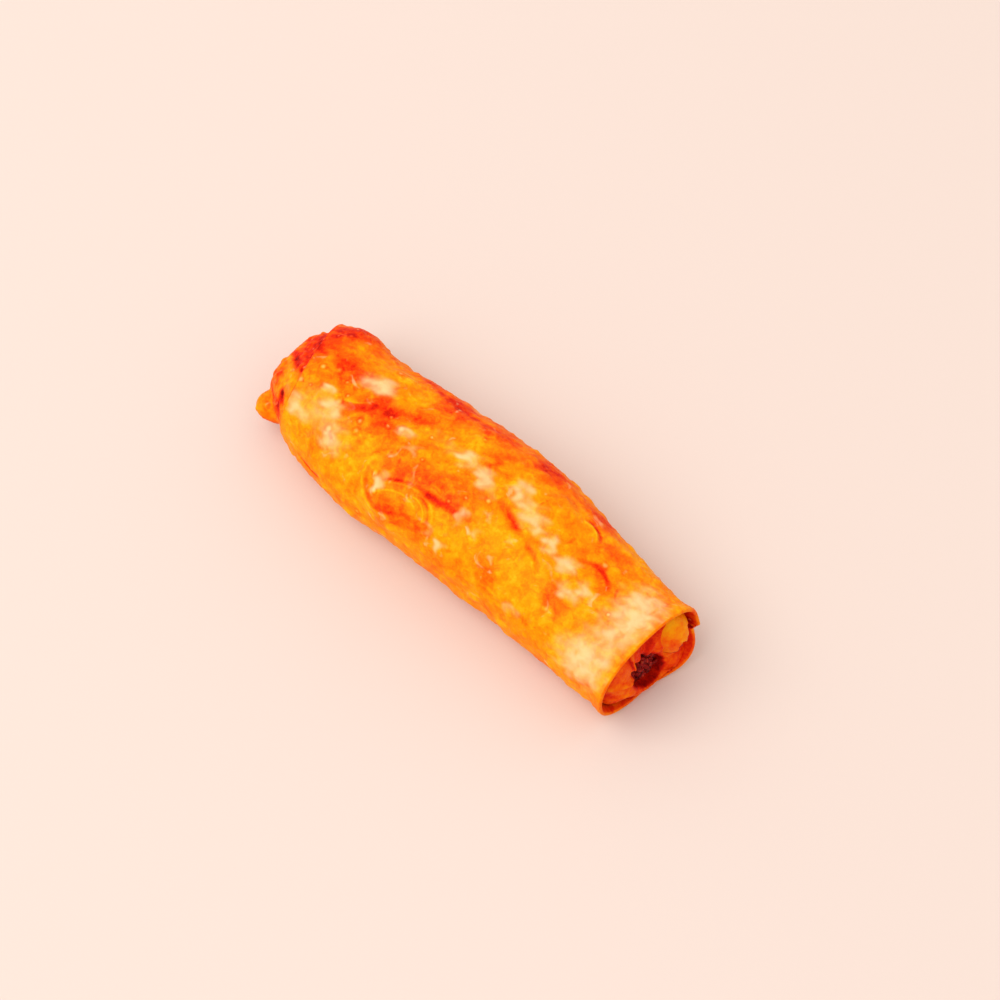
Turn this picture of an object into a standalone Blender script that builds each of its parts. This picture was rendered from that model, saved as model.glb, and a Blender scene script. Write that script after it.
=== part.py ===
"""A fried spring roll, built as it is made: one square of pastry rolled about two turns round its
filling, with both sides folded in. Metres, +Z up. +X runs along the roll to the end where the filling
shows, and Z = 0 is the table under it."""

import math

import bmesh
import bpy

# The roll as a whole
RIM_LEFT = -0.0630  # where the outer turn ends at the tucked end
RIM_RIGHT = 0.0635  # and at the open end
HALF_WIDTH_LEFT = 0.0183
HALF_WIDTH_RIGHT = 0.0179
BELLY = 0.0034  # how much wider, each side, the middle is
SHOULDER = 0.0030  # how far the tucked end is drawn in
SHOULDER_REACH = 0.0150
HEIGHT_SHARE = 0.84  # of the width
SWAY = 0.0015  # gentle S bend of the spine
SIDE = -0.0006  # how far the spine lies from the middle of the whole width
SQUARENESS = 2.25  # superellipse exponent of the section

# The pastry sheet
SHEET = 0.0015
LAYER_GAP = 0.0006
PITCH = SHEET + LAYER_GAP
TURNS = 2.0
FLAP_TIP = math.radians(-46)  # the outer corner of the sheet, low on the far side
FLAP_DROP = 0.13  # turns by which the corner's two edges fall away towards the ends
LIP = 0.0009  # the outer turn's mouth swells out this far
LIP_REACH = 0.0050
LOW_LIP = 0.0030  # low on the far side the mouth reaches out further
LOW_LIP_AT = math.radians(-36)
LOW_LIP_NARROWNESS = 1.65
INNER_SET_BACK = 0.0020  # the inner turn ends this far inside the mouth
SET_BACK_TURNS = (0.72, 0.95)  # turns over which the sheet's edge comes forward again
LEFT_SLANT = 0.0098  # at the tucked end the sheet's edge lies this far back on the near side
LEFT_SLANT_FROM = math.radians(-10)

# How it rests
FLAT_DEPTH = 0.0010  # how far the round section is pressed flat
END_LIFT = 0.0016

# The folds that close the ends
TUCK_REACH = 0.0035  # the tucked end stands this far past the outer turn
TUCK_ROOT = 0.0105
TUCK_UNDER = 0.0025  # from there it runs on this far under the outer turn
TUCK_INSET = 0.0009
TUCK_BULGE = 0.0014  # the dome swells towards the knob
PLEATS = 3
PLEAT_DEPTH = 0.06
EAR_Y, EAR_Z = -0.0130, -0.0018  # a folded corner standing out as a blunt knob, from the spine
EAR_RADIUS = 0.0044
EAR_ROOT = 0.0080
EAR_REACH = 0.0026
EAR_SPLAY = 0.0036
MOUTH_Y, MOUTH_Z = 0.0002, -0.0038  # the filling's hole, from the spine
MOUTH_HALF_WIDTH = 0.0056
MOUTH_HALF_HEIGHT = 0.0066
MOUTH_FOLD_REACH = 0.0008
MOUTH_FOLD_THICKNESS = 0.0090
MOUTH_FOLD_DEPTH = 1.35 * PITCH  # how far under the skin the ring reaches out, into the sheet
MOUTH_FOLD_LOWEST = 1.3 * PITCH  # its height from the table
TONGUE_Y, TONGUE_Z = 0.0103, 0.0012  # the inner fold that bulges beside it, from the spine
TONGUE_HALF_WIDTH = 0.0060
TONGUE_HALF_HEIGHT = 0.0082
TONGUE_LEAN = math.radians(-12)
TONGUE_ROOT = 0.0090
TONGUE_REACH = 0.0030

# The filling
CLEARANCE = 0.0003
FILLING_END = 0.0125  # the wide part ends this far inside the rim
FILLING_TIP = 0.0003  # the part that shows, from the rim
NECK_SIDE = -0.0004  # its narrow part lies this far from the middle of the hole, clear of the inner fold
NECK_HALF_WIDTH = 0.0044
NECK_HALF_HEIGHT = 0.0061
NECK_LOWEST = 0.0047  # the narrow part stays above the sheet's inner turn
LUMP = 0.0007  # how uneven it is

# Large blisters: place along the roll, angle round it in degrees, radius, height
BLISTERS = (
    (-0.034, 203, 0.0240, 0.0018),
    (-0.013, 156, 0.0090, 0.0011),
    (-0.035, 62, 0.0085, 0.0010),
    (0.023, 66, 0.0075, 0.0009),
    (0.004, 20, 0.0300, 0.0009),
    (-0.026, 20, 0.0120, 0.0008),
    (0.015, 204, 0.0085, 0.0007),
    (0.043, 195, 0.0260, 0.0012),
    (-0.053, 30, 0.0080, 0.0009),
)

# Mesh steps
STEPS_ROUND = 30  # for each turn
STEPS_ALONG = 20
FOLD_STEPS = 24
FOLD_RINGS = 8
FILLING_RINGS = 16


def smooth(low, high, value):
    """0 below low, 1 above high, and an S curve between."""
    t = min(1.0, max(0.0, (value - low) / (high - low)))
    return t * t * (3 - 2 * t)


def share_along(x):
    return min(1.0, max(0.0, (x - RIM_LEFT) / (RIM_RIGHT - RIM_LEFT)))


def half_width(x):
    u = share_along(x)
    taper = HALF_WIDTH_LEFT + (HALF_WIDTH_RIGHT - HALF_WIDTH_LEFT) * u
    drawn_in = SHOULDER * (1 - smooth(-TUCK_REACH, SHOULDER_REACH, x - RIM_LEFT)) ** 2
    return taper + BELLY * math.sin(math.pi * u) ** 2 - drawn_in


def spine(x):
    """(y, z) of the roll's middle. The section sinks until its underside is pressed flat."""
    u = share_along(x)
    under_skin = PITCH * (math.radians(270) - FLAP_TIP) / math.tau
    y = SIDE - SWAY * math.sin(math.tau * u)
    z = HEIGHT_SHARE * half_width(x) - under_skin - FLAT_DEPTH + END_LIFT * (2 * u - 1) ** 4
    return y, z


def swelling(x, angle, radius):
    """How far the large blisters raise the skin at this place."""
    raised = 0.0
    for place, degrees, reach, height in BLISTERS:
        turned = (angle - math.radians(degrees) + math.pi) % math.tau - math.pi
        distance = math.hypot(x - place, turned * radius)
        raised += height * (1 - smooth(0.35 * reach, reach, distance))
    return raised


def skin_radius(x, angle):
    """From the spine out to the skin of a roll with no free edge."""
    a = half_width(x)
    b = HEIGHT_SHARE * a
    radius = (
        abs(math.cos(angle) / a) ** SQUARENESS + abs(math.sin(angle) / b) ** SQUARENESS
    ) ** (-1 / SQUARENESS)
    return radius + swelling(x, angle, radius)


def inside_skin(x, angle, depth, lowest):
    """The point this deep under the skin, and not under the height lowest."""
    radius = skin_radius(x, angle) - depth
    y, z = spine(x)
    return x, y + radius * math.cos(angle), max(lowest, z + radius * math.sin(angle))


def link(name, mesh, collection):
    obj = bpy.data.objects.new(name, mesh)
    collection.objects.link(obj)
    return obj


def shaped_grid(name, columns, rows, place, collection):
    """A flat grid whose points are moved by place(across, along), both from 0 to 1."""
    bm = bmesh.new()
    bmesh.ops.create_grid(bm, x_segments=columns, y_segments=rows, size=0.5)
    for vertex in bm.verts:
        vertex.co = place(vertex.co.x + 0.5, vertex.co.y + 0.5)
    mesh = bpy.data.meshes.new(name)
    bm.to_mesh(mesh)
    bm.free()
    return link(name, mesh, collection)


def solidify(obj, thickness):
    """Gives an open surface its thickness on the side away from its normals."""
    modifier = obj.modifiers.new("thickness", "SOLIDIFY")
    modifier.thickness = thickness
    modifier.offset = 1
    modifier.use_even_offset = True


def rim_left(angle):
    """The sheet's edge at the tucked end, cut a little on the slant."""
    return RIM_LEFT + LEFT_SLANT * (1 - math.cos(angle - LEFT_SLANT_FROM)) / 2


def rim_right(turn, angle):
    """The outer turn's mouth is straight but for its low far side; the inner turn sits back inside."""
    beside = (angle - LOW_LIP_AT + math.pi) % math.tau - math.pi
    low_lip = LOW_LIP * math.cos(min(math.pi / 2, LOW_LIP_NARROWNESS * abs(beside))) ** 2
    return RIM_RIGHT + low_lip - INNER_SET_BACK * (1 - smooth(*SET_BACK_TURNS, turn))


def rolled(across, along):
    """Rolls the flat sheet up: across runs from its inner edge to its outer corner."""
    ends_spaced = 0.55 * along + 0.45 * (0.5 - 0.5 * math.cos(math.pi * along))
    turn = across * (TURNS - FLAP_DROP * abs(2 * ends_spaced - 1))
    angle = FLAP_TIP + math.tau * (TURNS - turn)
    reach = rim_right(turn, angle)
    x = rim_left(angle) + (reach - rim_left(angle)) * ends_spaced
    layers_outside = 1 if turn < TURNS - 1 + FLAP_TIP / math.tau else 0
    mouth = rim_right(TURNS, angle)
    depth = PITCH * (TURNS - turn) - LIP * smooth(mouth - LIP_REACH, mouth, x)
    return inside_skin(x, angle, depth, layers_outside * PITCH)


def pastry(collection):
    obj = shaped_grid(
        "wrapper", int(STEPS_ROUND * TURNS), STEPS_ALONG, rolled, collection
    )
    solidify(obj, SHEET)
    return obj


def fold_solid(name, ring_point, rings, collection):
    """A closed solid through rings of points; its first and last rings are capped with a fan."""
    bm = bmesh.new()
    loops = []
    for ring in range(rings):
        loops.append(
            [
                bm.verts.new(ring_point(ring / (rings - 1), math.tau * step / FOLD_STEPS))
                for step in range(FOLD_STEPS)
            ]
        )
    for loop, after in zip(loops, loops[1:]):
        for step in range(FOLD_STEPS):
            following = (step + 1) % FOLD_STEPS
            bm.faces.new((loop[step], loop[following], after[following], after[step]))
    for loop in (loops[0], loops[-1]):
        bmesh.ops.poke(bm, faces=[bm.faces.new(loop)])
    bmesh.ops.recalc_face_normals(bm, faces=bm.faces)
    mesh = bpy.data.meshes.new(name)
    bm.to_mesh(mesh)
    bm.free()
    return link(name, mesh, collection)


def tucked_end(helpers):
    """The side of the sheet folded in over the filling: a low dome gathered into pleats."""

    def point(along, angle):
        under = max(0.0, 1 - along * FOLD_RINGS)
        share = max(0.0, (along * FOLD_RINGS - 1) / (FOLD_RINGS - 1))
        rounding = math.sin(share * math.pi / 2)
        x = RIM_LEFT + TUCK_ROOT + TUCK_UNDER * under - (TUCK_ROOT + TUCK_REACH) * rounding**1.4
        shrink = max(0.14, math.cos(share * math.pi / 2) ** 0.34)
        pleat = 1 - PLEAT_DEPTH * share * (1 + math.cos(PLEATS * angle + 0.7))
        bulge = TUCK_BULGE * max(0.0, math.cos(angle - math.radians(150))) ** 3 * share
        turned = (angle - FLAP_TIP) / math.tau % 1
        inset = TUCK_INSET + PITCH * turned * (1 - smooth(0.90, 1.0, turned))
        radius = (skin_radius(x, angle) + bulge - inset) * shrink * pleat
        y, z = spine(x)
        lowest = 0.0009 + 0.004 * share**3
        return x, y + radius * math.cos(angle), max(lowest, z + radius * math.sin(angle))

    return fold_solid("tucked_end", point, FOLD_RINGS + 1, helpers)


def ear(helpers):
    """A corner of the side fold that was left standing out as a small blunt knob."""
    y0, z0 = spine(RIM_LEFT)

    def point(share, angle):
        x = RIM_LEFT + EAR_ROOT - (EAR_ROOT + EAR_REACH) * share
        radius = EAR_RADIUS * (0.25 + 0.75 * math.sin(math.pi * (0.10 + 0.80 * share)) ** 0.4)
        y = y0 + EAR_Y + EAR_SPLAY * (0.5 - share)
        return x, y + radius * math.cos(angle), z0 + EAR_Z + radius * math.sin(angle)

    return fold_solid("ear", point, FOLD_RINGS, helpers)


def mouth_fold(helpers):
    """The other side fold, a soft ring that leaves a hole over the filling."""
    mesh = bpy.data.meshes.new("mouth_fold")
    bm = bmesh.new()
    x_middle = RIM_RIGHT + MOUTH_FOLD_REACH - MOUTH_FOLD_THICKNESS / 2
    y0, z0 = spine(x_middle)
    loops = []
    for step in range(FOLD_STEPS):
        angle = math.tau * step / FOLD_STEPS
        wall = skin_radius(x_middle, angle) - MOUTH_FOLD_DEPTH
        outer = (y0 + wall * math.cos(angle), max(MOUTH_FOLD_LOWEST, z0 + wall * math.sin(angle)))
        hole = (
            y0 + MOUTH_Y + MOUTH_HALF_WIDTH * math.cos(angle),
            z0 + MOUTH_Z + MOUTH_HALF_HEIGHT * math.sin(angle),
        )
        loop = []
        for part in range(FOLD_RINGS):
            turn = math.tau * part / FOLD_RINGS
            share = 0.5 + 0.5 * math.cos(turn)
            loop.append(
                bm.verts.new(
                    (
                        x_middle + MOUTH_FOLD_THICKNESS / 2 * math.sin(turn),
                        hole[0] + (outer[0] - hole[0]) * share,
                        hole[1] + (outer[1] - hole[1]) * share,
                    )
                )
            )
        loops.append(loop)
    for step, loop in enumerate(loops):
        after = loops[(step + 1) % FOLD_STEPS]
        for part in range(FOLD_RINGS):
            following = (part + 1) % FOLD_RINGS
            bm.faces.new((loop[part], loop[following], after[following], after[part]))
    bmesh.ops.recalc_face_normals(bm, faces=bm.faces)
    bm.to_mesh(mesh)
    bm.free()
    return link("mouth_fold", mesh, helpers)


def tongue(helpers):
    """The end of the inner turns, pushed out beside the hole as one rounded fold."""
    y0, z0 = spine(RIM_RIGHT)

    def point(share, angle):
        x = RIM_RIGHT - TONGUE_ROOT + (TONGUE_ROOT + TONGUE_REACH) * share
        swell = max(0.22, (1 - share**3) ** 0.5)
        across = TONGUE_HALF_WIDTH * swell * math.cos(angle)
        up = TONGUE_HALF_HEIGHT * swell * math.sin(angle)
        y = y0 + TONGUE_Y + across * math.cos(TONGUE_LEAN) + up * math.sin(TONGUE_LEAN)
        z = z0 + TONGUE_Z + up * math.cos(TONGUE_LEAN) - across * math.sin(TONGUE_LEAN)
        return x, y, z

    return fold_solid("tongue", point, FOLD_RINGS, helpers)


def filling(collection):
    """The core: it fills the roll inside the last turn and narrows to the hole at the open end."""
    depth = TURNS * PITCH + SHEET + CLEARANCE
    start = RIM_LEFT + TUCK_ROOT + TUCK_UNDER + 2 * CLEARANCE
    shoulder = RIM_RIGHT - FILLING_END
    tip = RIM_RIGHT + FILLING_TIP

    def point(share, angle):
        x = start + (tip - start) * share
        y0, z0 = spine(x)
        narrow = smooth(shoulder - 0.012, shoulder, x)
        blunt = 1 - 0.35 * (1 - smooth(start, start + 0.010, x))
        lump = LUMP * (1 + math.sin(3 * angle + 900 * x) * math.sin(2 * angle - 500 * x))
        wide = (skin_radius(x, angle) - depth) * blunt - lump
        round_off = 1 - 0.30 * smooth(tip - 0.003, tip, x)
        neck_y = (NECK_HALF_WIDTH - lump) * round_off
        neck_z = (NECK_HALF_HEIGHT - lump) * round_off
        y = y0 + wide * math.cos(angle)
        z = max(depth, z0 + wide * math.sin(angle))
        y += narrow * (y0 + MOUTH_Y + NECK_SIDE + neck_y * math.cos(angle) - y)
        z += narrow * (z0 + MOUTH_Z + neck_z * math.sin(angle) - z)
        return x, y, max(NECK_LOWEST, z)

    return fold_solid("filling", point, FILLING_RINGS, collection)


def union(obj, other):
    modifier = obj.modifiers.new("join " + other.name, "BOOLEAN")
    modifier.operation = "UNION"
    modifier.object = other
    other.hide_render = True
    other.display_type = "WIRE"


def finish(obj, colour, roughness):
    """A Principled material for the whole piece, and smooth shading over its soft edges."""
    material = bpy.data.materials.new(obj.name)
    material.use_nodes = True
    shader = material.node_tree.nodes["Principled BSDF"]
    shader.inputs["Base Color"].default_value = (*colour, 1)
    shader.inputs["Roughness"].default_value = roughness
    shader.inputs["Metallic"].default_value = 0
    obj.data.materials.append(material)
    obj.data.shade_smooth()
    obj.data.set_sharp_from_angle(angle=math.radians(40))


def build():
    for obj in list(bpy.data.objects):
        bpy.data.objects.remove(obj)
    scene = bpy.context.scene.collection
    roll = bpy.data.collections.new("spring_roll")
    helpers = bpy.data.collections.new("helpers")
    scene.children.link(roll)
    scene.children.link(helpers)
    wrapper = pastry(roll)
    for fold in (tucked_end(helpers), ear(helpers), mouth_fold(helpers), tongue(helpers)):
        union(wrapper, fold)
    finish(wrapper, (0.95, 0.37, 0.02), 0.45)
    finish(filling(roll), (0.13, 0.02, 0.01), 0.40)


build()
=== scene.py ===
import math

import bmesh
import bpy
import numpy as np
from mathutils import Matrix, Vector


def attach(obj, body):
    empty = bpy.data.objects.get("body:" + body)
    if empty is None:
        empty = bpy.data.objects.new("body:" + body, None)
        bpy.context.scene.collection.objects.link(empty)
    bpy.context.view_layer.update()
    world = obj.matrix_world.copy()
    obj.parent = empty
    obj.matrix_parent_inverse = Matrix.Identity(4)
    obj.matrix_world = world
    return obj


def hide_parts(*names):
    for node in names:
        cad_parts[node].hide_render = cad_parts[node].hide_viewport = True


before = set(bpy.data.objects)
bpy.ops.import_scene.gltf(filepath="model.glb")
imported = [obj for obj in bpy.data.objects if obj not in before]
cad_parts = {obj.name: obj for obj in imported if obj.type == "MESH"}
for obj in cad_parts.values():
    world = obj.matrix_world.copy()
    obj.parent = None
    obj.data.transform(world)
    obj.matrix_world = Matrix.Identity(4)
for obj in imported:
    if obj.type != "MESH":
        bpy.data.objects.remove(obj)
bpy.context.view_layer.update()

# ----------------------------
# The viewer looks down on the roll from beside its open end, through a long lens that keeps the
# roll's two sides nearly parallel.
# ----------------------------
VIEW_AZIMUTH = math.radians(44.9)
VIEW_ELEVATION = math.radians(60.5)
VIEW_DISTANCE = 1.2
LOOK_AT = Vector((0.0042, 0.0057, 0.0166))
LENS_MM = 165.9
SENSOR_MM = 36

back = Vector(
    (
        math.sin(VIEW_AZIMUTH) * math.cos(VIEW_ELEVATION),
        -math.cos(VIEW_AZIMUTH) * math.cos(VIEW_ELEVATION),
        math.sin(VIEW_ELEVATION),
    )
)
lens = bpy.data.cameras.new("viewer")
lens.lens = LENS_MM
lens.sensor_width = SENSOR_MM
camera = bpy.data.objects.new("viewer", lens)
camera.location = LOOK_AT + back * VIEW_DISTANCE
camera.rotation_euler = back.to_track_quat("Z", "Y").to_euler()
bpy.context.scene.collection.objects.link(camera)
bpy.context.scene.camera = camera

# ----------------------------
# The table is one plain pale sheet. A broad lamp hangs high on the viewer's left, and the white
# room fills the rest, so shadows are soft and sit close under the roll.
# ----------------------------
TABLE = "DBC6BA"
ROOM_LIGHT = 0.98
LAMP_SIZE = 1.8
LAMP_WATTS = 28.0
LAMP_AT = Vector((-0.60, -1.00, 1.75))


def linear(hex_colour):
    """An sRGB hex colour as linear red, green, blue and alpha."""
    channels = [int(hex_colour[i : i + 2], 16) / 255 for i in (0, 2, 4)]
    return [c / 12.92 if c <= 0.04045 else ((c + 0.055) / 1.055) ** 2.4 for c in channels] + [1.0]


def add(tree, kind, inputs=None, **settings):
    """Adds one node: its settings, then its inputs, each a value, a node or a node's output."""
    node = tree.nodes.new(kind)
    for name, value in settings.items():
        setattr(node, name, value)
    for key, value in (inputs or {}).items():
        if isinstance(key, int):
            socket = node.inputs[key]
        else:
            socket = [s for s in node.inputs if s.name == key and s.enabled][0]
        if isinstance(value, bpy.types.Node):
            value = [s for s in value.outputs if s.enabled][0]
        if isinstance(value, bpy.types.NodeSocket):
            tree.links.new(value, socket)
        else:
            socket.default_value = value
    return node


def new_material(name):
    """A material with an empty node tree, and that tree."""
    material = bpy.data.materials.new(name)
    material.use_nodes = True
    material.node_tree.nodes.clear()
    return material, material.node_tree


table_paint, tree = new_material("matt table paint")
shader = add(tree, "ShaderNodeBsdfPrincipled", {"Base Color": linear(TABLE), "Roughness": 0.9})
add(tree, "ShaderNodeOutputMaterial", {"Surface": shader.outputs[0]})

bpy.ops.mesh.primitive_plane_add(size=8)
table = bpy.context.object
table.name = "table"
table.data.materials.append(table_paint)

room = bpy.data.worlds.new("room")
room.use_nodes = True
room.node_tree.nodes["Background"].inputs["Color"].default_value = (1, 1, 1, 1)
room.node_tree.nodes["Background"].inputs["Strength"].default_value = ROOM_LIGHT
bpy.context.scene.world = room

lamp_data = bpy.data.lights.new("lamp", "AREA")
lamp_data.size = LAMP_SIZE
lamp_data.energy = LAMP_WATTS
lamp = bpy.data.objects.new("lamp", lamp_data)
lamp.location = LAMP_AT
lamp.rotation_euler = LAMP_AT.to_track_quat("Z", "Y").to_euler()
bpy.context.scene.collection.objects.link(lamp)

bpy.context.scene.view_settings.view_transform = "Standard"

# ----------------------------
# The outer turn is the last round of one square of wheat pastry, rolled up and fried in deep oil.
# Its free corner lies low on the far side, its mouth is a plain fold, and the oil has raised
# blisters and browned it in patches. Painted shade and highlight are mixed into its patches,
# wrinkles, blisters and beads.
# ----------------------------
RIM_LEFT = -0.0630
RIM_RIGHT = 0.0635
HALF_WIDTH_LEFT = 0.0183
HALF_WIDTH_RIGHT = 0.0179
BELLY = 0.0034
SHOULDER = 0.0030
SHOULDER_REACH = 0.0150
HEIGHT_SHARE = 0.84
SWAY = 0.0015
SIDE = -0.0006
SQUARENESS = 2.25
SHEET = 0.0015
PITCH = SHEET + 0.0006
TURNS = 2.0
FLAP_TIP = math.radians(-46)
FLAP_DROP = 0.13
FLAP_BACK = 0.0020  # beside the flap the mouth stands back by this
FLAP_BACK_TURNS = (0.72, 0.95)
# Under the free edge: turned on by this angle, and this share of the pitch deep
GROOVE = ((0.02, 1.0), (0.03, 0.92), (0.02, 0.84), (0.0, 0.80), (-0.012, 0.55), (-0.012, 0.3))
# The groove under the free edge is painted darker as shade.
GROOVE_SHADE_TONE = 0.9
LIP = 0.0009
LIP_REACH = 0.0050
LOW_LIP = 0.0030  # low on the far side the mouth reaches out further
LOW_LIP_AT = math.radians(-36)
LOW_LIP_NARROWNESS = 1.65
RIM_THICKNESS = 0.75 * SHEET  # the cut edge is pressed a little thinner than the sheet
RIM_STEPS = 6  # rows that round the cut edge
RIM_TONES = (0.25, 0.75)  # browner than the skin beside it, and painted darker still towards the inside as shade
INNER_WALL = (0.002, 0.005, 0.010)  # how far in the rows of the wall inside a mouth lie
INNER_WALL_SLOPE = 0.25
# The wall inside a mouth is painted dark orange-red as shade.
INNER_WALL_SHADE_TONE = 1.15
MIDDLE_HEIGHT = 0.0138  # of the roll's middle at both ends
RESTING = (0.0006, 0.0045)  # between these heights the ripples and blisters fade in
TUCK_REACH = 0.0035
LEFT_SLANT = 0.0098  # the sheet's edge at the tucked end lies this far back on the near side
LEFT_SLANT_FROM = math.radians(-10)
FLAT_DEPTH = 0.0010
END_LIFT = 0.0016
# Place along the roll in metres, angle round it in degrees, radius, height
LARGE_BLISTERS = (
    (-0.034, 203, 0.0240, 0.0018),
    (-0.013, 156, 0.0090, 0.0011),
    (-0.035, 62, 0.0085, 0.0010),
    (0.023, 66, 0.0075, 0.0009),
    (0.004, 20, 0.0300, 0.0009),
    (-0.026, 20, 0.0120, 0.0008),
    (0.015, 204, 0.0085, 0.0007),
    (0.043, 195, 0.0260, 0.0012),
    (-0.053, 30, 0.0080, 0.0009),
)
# Wrinkles drawn up by blisters that rose and fell: start (mm along, degrees round), end, bow in mm,
# width in mm, height in mm, tone. A height below 0 is a crease, and tone above 0 is darker: the
# creases are painted darker as shade, and the ridges paler (tone below 0) as painted highlight.
WRINKLES = (
    (-23, 127, -10, 157, 6.0, 0.85, 0.30, -0.38),
    (-22, 130, -10, 154, 5.0, 1.00, -0.25, 0.50),
    (-20, 147, -5, 128, -1.9, 0.75, 0.30, -0.35),
    (-19, 144, -4, 125, -1.9, 0.90, -0.20, 0.50),
    (-7, 129, 5, 124, -0.3, 1.70, -0.35, 0.85),
    (-7, 130, 1, 147, -2.6, 0.80, 0.30, -0.42),
    (-7.5, 133, -0.5, 147, -2.4, 0.60, -0.20, 0.50),
    (-8.5, 135, -1.5, 148, -2.2, 0.45, 0.20, -0.45),
    (-17, 149, -5, 141, -2.5, 0.50, 0.15, -0.40),
    (-41, 112, -33, 88, 1.2, 2.20, -0.30, 0.65),
    (-35, 90, -18, 70, 1.0, 2.80, -0.25, 0.62),
    (-42, 108, -34, 85, 1.2, 0.60, 0.25, -0.45),
    (-38.5, 136, -35.5, 141, 0.2, 0.80, -0.20, 0.70),
    (10, 91, 21.5, 107, -0.2, 2.10, -0.45, 0.95),
    (23, 108, 31, 121, -1.0, 1.40, -0.20, 0.55),
    (36, 86, 47, 86, -3.6, 1.30, -0.20, 0.75),
    (28, 50, 36, 59, -2.6, 0.80, -0.25, 0.85),
    (28.5, 53, 35, 60, -2.0, 0.60, 0.25, -0.50),
    (48.5, 76, 50.5, 88, 0.4, 0.60, -0.20, 0.55),
    # This crease along the low near edge is painted darker partly as the shadow of a second roll that
    # lay against it.
    (-43, 178, -35, 178, 0.6, 0.90, -0.35, 1.10),
    (-33, 31, -5, 40, 1.5, 1.60, -0.20, 0.40),
    (-30, 268, -12, 252, 1.8, 1.60, -0.30, 0.80),
    (16, 240, 30, 262, -2.0, 1.20, -0.30, 0.75),
    (-48, 318, -36, 300, 1.5, 0.90, 0.30, -0.50),
    (2, 330, 18, 345, 2.2, 1.40, -0.30, 0.80),
    (34, 300, 46, 282, -1.6, 1.00, 0.25, -0.45),
)
# Where pinhead blisters crowd together: mm along, degrees round, reach along and round in mm, share
BEADY_AREAS = (
    (-40, 120, 13.0, 12.0, 0.80),
    (-50, 92, 7.0, 6.0, 0.60),
    (-24, 112, 9.0, 9.0, 0.50),
    (-54, 70, 6.0, 10.0, 0.45),
    (10, 122, 16.0, 8.0, 0.20),
    (30, 290, 20.0, 12.0, 0.40),
    (-20, 250, 18.0, 12.0, 0.40),
)
# The loose pale flecks are partly pale crust and partly painted highlight.
FLECKED = 0.60  # how strong the loose pale flecks get where the pastry is dry
STEPS_ALONG = 262
STEPS_ROUND = 326
MM_PER_DEGREE = 0.34  # round the roll, on the flattened sheet
POLE_WELD = 0.00001  # points closer than this become one


def smooth(low, high, value):
    """0 below low, 1 above high, and an S curve between."""
    t = np.clip((value - low) / (high - low), 0, 1)
    return t * t * (3 - 2 * t)


def wrapped(value, whole):
    """The same place on a ring of this length, from minus half to half of it."""
    return (value + whole / 2) % whole - whole / 2


def length_share(x):
    """0 at the left rim, 1 at the right rim."""
    return np.clip((x - RIM_LEFT) / (RIM_RIGHT - RIM_LEFT), 0, 1)


def half_width(x):
    """From the roll's middle to its side: bellied, and drawn in at the tucked end."""
    u = length_share(x)
    drawn_in = SHOULDER * (1 - smooth(-TUCK_REACH, SHOULDER_REACH, x - RIM_LEFT)) ** 2
    taper = HALF_WIDTH_LEFT + (HALF_WIDTH_RIGHT - HALF_WIDTH_LEFT) * u
    return taper + BELLY * np.sin(math.pi * u) ** 2 - drawn_in


def spine(x):
    """Sideways place and height of the roll's middle."""
    u = length_share(x)
    under_skin = PITCH * (math.radians(270) - FLAP_TIP) / math.tau
    y = SIDE - SWAY * np.sin(math.tau * u)
    z = HEIGHT_SHARE * half_width(x) - under_skin - FLAT_DEPTH + END_LIFT * (2 * u - 1) ** 4
    return y, z


def skin_radius(x, angle):
    """From the spine out to the skin, large blisters included."""
    a = half_width(x)
    b = HEIGHT_SHARE * a
    power = np.abs(np.cos(angle) / a) ** SQUARENESS + np.abs(np.sin(angle) / b) ** SQUARENESS
    radius = power ** (-1 / SQUARENESS)
    raised = np.zeros_like(radius)
    for place, degrees, reach, height in LARGE_BLISTERS:
        turned = wrapped(angle - math.radians(degrees), math.tau)
        distance = np.hypot(x - place, turned * radius)
        raised += height * (1 - smooth(0.35 * reach, reach, distance))
    return radius + raised


def around(x, angle, radius, lowest=0.0):
    """The point at this radius from the spine, and not under the height lowest."""
    y, z = spine(x)
    point = (x, y + radius * np.cos(angle), np.maximum(lowest, z + radius * np.sin(angle)))
    return np.stack(np.broadcast_arrays(*point), axis=-1)


def flap_angle(x):
    """Where the sheet's free edge lies: lowest in the middle, at the square's corner."""
    from_middle = 2 * length_share(x) - 1
    return FLAP_TIP + math.tau * FLAP_DROP * (np.sqrt(from_middle**2 + 0.01) - 0.1)


def low_lip(angle):
    """How far the mouth reaches out beyond the rim, low on the far side."""
    beside = np.abs(wrapped(angle - LOW_LIP_AT, math.tau))
    return LOW_LIP * np.cos(np.minimum(math.pi / 2, LOW_LIP_NARROWNESS * beside)) ** 2


def unrolled(x, angle):
    """Millimetres along the roll, and round it measured on the flattened sheet."""
    degrees = np.degrees(angle) % 360
    return np.stack(np.broadcast_arrays(x * 1000, degrees * MM_PER_DEGREE), axis=-1)


def spot(place, along, degrees, reach_along, reach_round):
    """1 at this place on the sheet, falling off softly over its reach in millimetres."""
    off_along = (place[..., 0] - along) / reach_along
    off_round = (place[..., 1] - degrees * MM_PER_DEGREE) / reach_round
    return np.exp(-(off_along**2) - off_round**2)


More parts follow.
